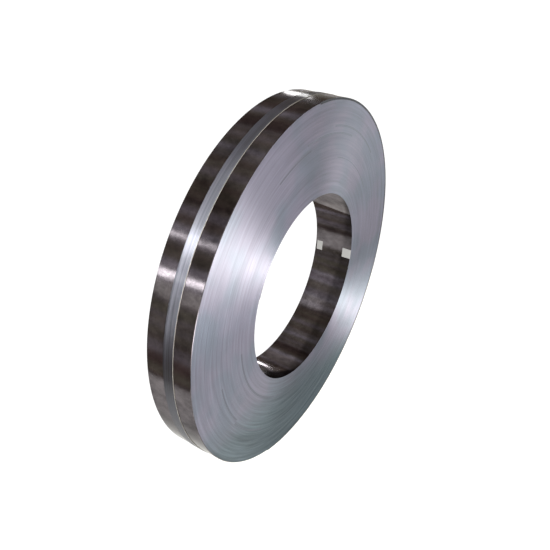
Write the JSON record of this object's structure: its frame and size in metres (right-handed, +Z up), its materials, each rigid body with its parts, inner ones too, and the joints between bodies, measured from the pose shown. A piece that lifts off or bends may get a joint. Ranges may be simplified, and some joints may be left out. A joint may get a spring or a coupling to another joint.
{
  "type": "steel coil",
  "caption": "Slit steel strip wound into a narrow coil with an open bore, standing on its rim and held by a steel strap closed with a crimped seal.",
  "frame": {"origin": "centre of the bore, halfway across the coil's width", "axes": "+Y along the coil's axis, away from the end that the picture shows; +Z up, with the coil standing on its rim"},
  "size_m": [1.1786, 0.143, 1.1786],
  "materials": {
    "strip_steel": "bright cold-rolled strip, mirror-like on its faces and brushed-looking on its slit edges",
    "strap_steel": "satin rolled strapping",
    "seal_steel": "satin pressed sheet"
  },
  "bodies": {
    "root": {"coil": "strip_steel", "strap": "strap_steel", "strap_seal": "seal_steel"}
  },
  "joints": []
}
